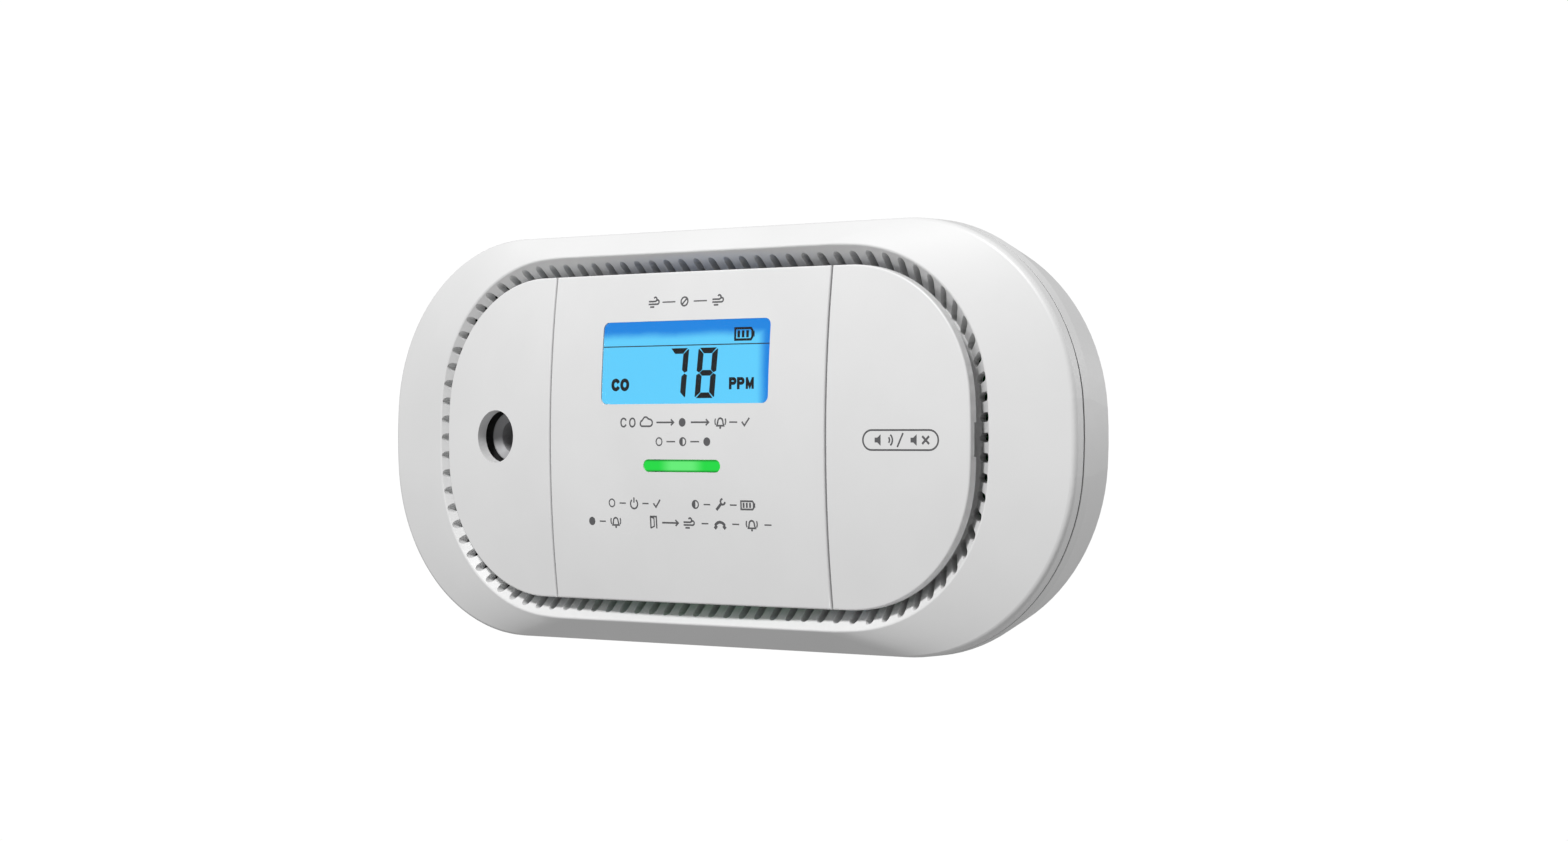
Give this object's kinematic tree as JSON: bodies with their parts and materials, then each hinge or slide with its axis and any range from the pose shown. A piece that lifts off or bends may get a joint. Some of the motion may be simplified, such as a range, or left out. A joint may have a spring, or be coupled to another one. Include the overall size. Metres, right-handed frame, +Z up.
{
  "type": "carbon monoxide alarm",
  "caption": "Battery carbon monoxide alarm: flattened oval case with vented groove, backlit gas reading display, status light, sounder port, rocking test button and lift-off wall plate.",
  "frame": {"origin": "centre of the wall plate's back face, on the wall", "axes": "+X along the alarm, to the right as seen from the room; +Y into the wall; +Z up"},
  "size_m": [0.125, 0.035, 0.06],
  "materials": {
    "white_plastic": "fine satin moulded plastic",
    "grey_plastic": "satin moulded plastic",
    "black_plastic": "satin moulded plastic",
    "clear_window": "clear polished plastic",
    "lcd_glass": "backlit liquid crystal glass",
    "diffuser": "milky light diffuser",
    "light_pipe": "tinted light pipe, lit green",
    "led_chip": "moulded resin",
    "circuit_board": "glass-fibre board with green solder mask",
    "chip_resin": "moulded epoxy",
    "tinned_metal": "tinned",
    "chip_ceramic": "sintered ceramic",
    "capacitor_sleeve": "shrink sleeve",
    "ferrite": "sintered ferrite",
    "copper_winding": "enamelled copper wire",
    "steel": "zinc plated",
    "spring_steel": "nickel plated",
    "brass_disc": "rolled sheet",
    "piezo_ceramic": "silvered ceramic",
    "rubber_black": "moulded",
    "rubber_grey": "moulded",
    "mesh": "fine woven mesh",
    "felt": "pressed felt",
    "cell_sleeve": "shrink sleeve",
    "label": "printed film, blank"
  },
  "bodies": {
    "wall_plate": {"wall_plate": "white_plastic"},
    "alarm": {"rear_cover": "white_plastic", "front_cover": "white_plastic", "case_seal": "rubber_grey", "port_seal": "rubber_black", "centre_panel": "white_plastic", "sounder_panel": "white_plastic", "button_hinge_pin": "steel", "dust_screen": "mesh", "display_window": "clear_window", "display_gasket": "rubber_black", "display_glass": "lcd_glass", "display_backlight": "diffuser", "display_frame": "black_plastic", "zebra_strip": "rubber_black", "light_pipe": "light_pipe", "status_leds": "led_chip", "circuit_board": "circuit_board", "board_chips": "chip_resin", "chip_pins": "tinned_metal", "board_passives": "chip_ceramic", "capacitors": "capacitor_sleeve", "inductor": "ferrite", "inductor_winding": "copper_winding", "test_switch_body": "black_plastic", "sounder_housing": "grey_plastic", "sounder_gasket": "rubber_black", "sounder_disc": "brass_disc", "sounder_ceramic": "piezo_ceramic", "sounder_back": "black_plastic", "sounder_leads": "tinned_metal", "sensor_can": "steel", "sensor_cap": "steel", "sensor_filter": "felt", "sensor_cell": "black_plastic", "sensor_pins": "tinned_metal", "battery_cell": "spring_steel", "battery_sleeve": "cell_sleeve", "battery_contact_positive": "spring_steel", "battery_contact_negative": "spring_steel", "case_screws": "steel", "board_screws": "steel"},
    "test_button": {"test_button": "white_plastic"},
    "switch_plunger": {"test_switch_plunger": "black_plastic"},
    "battery_door": {"battery_door": "white_plastic", "battery_label": "label"}
  },
  "joints": [
    {"name": "lift_off", "type": "slide", "parent": "wall_plate", "child": "alarm", "axis": [0, 0, 1], "range_m": [0, 0.0035]},
    {"name": "button_press", "type": "hinge", "parent": "alarm", "child": "test_button", "pos_m": [0.0276, -0.0306, 0], "axis": [0, 0, 1], "range_deg": [0, 2], "stiffness_Nm_per_rad": 0.4, "springref_deg": -2.86},
    {"name": "switch_travel", "type": "slide", "parent": "alarm", "child": "switch_plunger", "axis": [0, 1, 0], "range_m": [0, 0.00035]},
    {"name": "door_swing", "type": "hinge", "parent": "alarm", "child": "battery_door", "pos_m": [0, -0.0046, 0.0093], "axis": [1, 0, 0], "range_deg": [0, 90]}
  ],
  "couplings": [
    {"joint": "switch_travel", "follows": "button_press", "m_per_rad": 0.0094}
  ]
}
